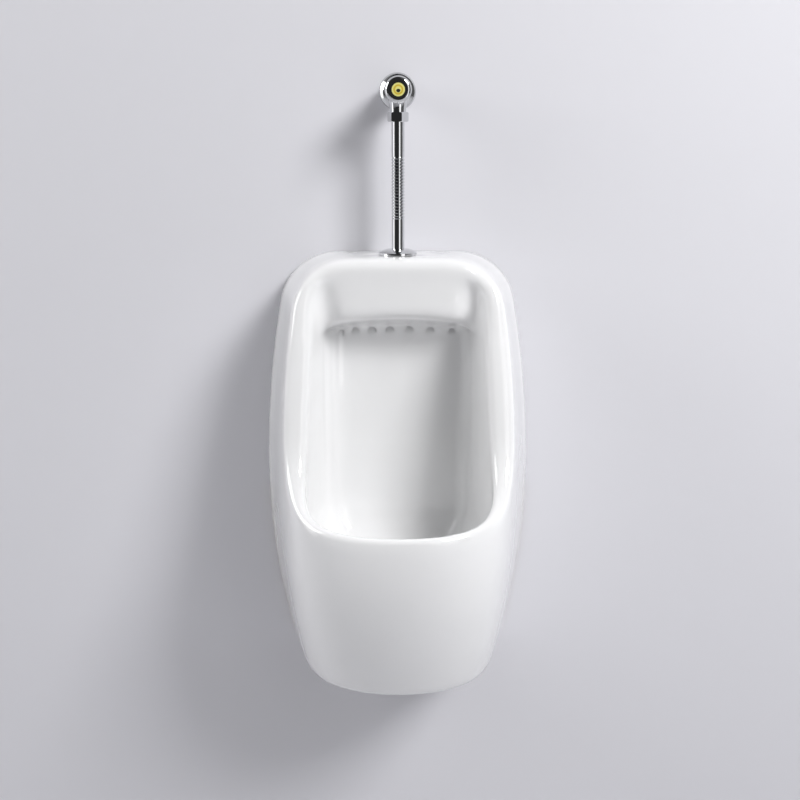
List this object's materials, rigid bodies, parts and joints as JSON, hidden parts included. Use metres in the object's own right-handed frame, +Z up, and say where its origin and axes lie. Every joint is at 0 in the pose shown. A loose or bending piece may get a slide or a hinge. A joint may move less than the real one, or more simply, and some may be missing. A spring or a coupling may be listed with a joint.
{
  "type": "wall-hung urinal",
  "caption": "White ceramic wall-hung urinal with an oval skirted bowl, a chrome push valve and ribbed flush pipe above, a loose strainer and a trap inside the skirt.",
  "frame": {"origin": "on the finished wall, at the centre of the four hanger fixings, 175 mm below the body's flat top", "axes": "+Z up, +Y into the wall, +X to the right as seen by someone facing the wall"},
  "size_m": [0.373, 0.3447, 0.8046],
  "materials": {
    "glazed_white": "white sanitary glaze",
    "zinc_steel": "zinc plated",
    "chrome": "mirror chrome",
    "stainless": "satin stainless",
    "brass": "machined brass",
    "black_rubber": "moulded rubber",
    "gasket_fibre": "pressed fibre",
    "black_plastic": "gloss moulding",
    "yellow_plastic": "gloss moulding"
  },
  "bodies": {
    "fixture": {"ceramic_body": "glazed_white", "hanger_bracket_left": "zinc_steel", "hanger_bracket_right": "zinc_steel", "hanger_washers": "zinc_steel", "hanger_nuts": "zinc_steel", "wall_studs": "zinc_steel", "spud_seal": "black_rubber", "spud_cover": "chrome", "flush_pipe": "chrome", "coupling_nut": "chrome", "coupling_washer": "black_rubber", "valve_body": "chrome", "wall_escutcheon": "chrome", "inlet_filter": "stainless", "valve_seat": "brass", "spindle_oring": "black_rubber", "bonnet": "brass", "bonnet_seal": "gasket_fibre", "return_spring": "stainless", "waste_flange": "chrome", "waste_upper_seal": "black_rubber", "waste_lower_seal": "black_rubber", "waste_locknut": "chrome", "trap_bend": "chrome", "trap_inlet_washer": "black_rubber", "trap_inlet_nut": "chrome", "outlet_washer": "black_rubber", "outlet_nut": "chrome", "outlet_tube": "chrome", "outlet_wall_seal": "black_rubber"},
    "button": {"push_button": "chrome", "button_ring": "black_plastic", "button_disc": "yellow_plastic", "spindle": "stainless", "poppet": "brass", "poppet_seal": "black_rubber"},
    "strainer": {"strainer": "stainless"}
  },
  "joints": [
    {"name": "button_press", "type": "slide", "parent": "fixture", "child": "button", "axis": [0, 1, 0], "range_m": [0, 0.008], "stiffness_N_per_m": 400, "springref_m": -0.012, "deforming": ["return_spring"]},
    {"name": "strainer_lift", "type": "slide", "parent": "fixture", "child": "strainer", "axis": [0, 0, 1], "range_m": [0, 0.06]}
  ]
}
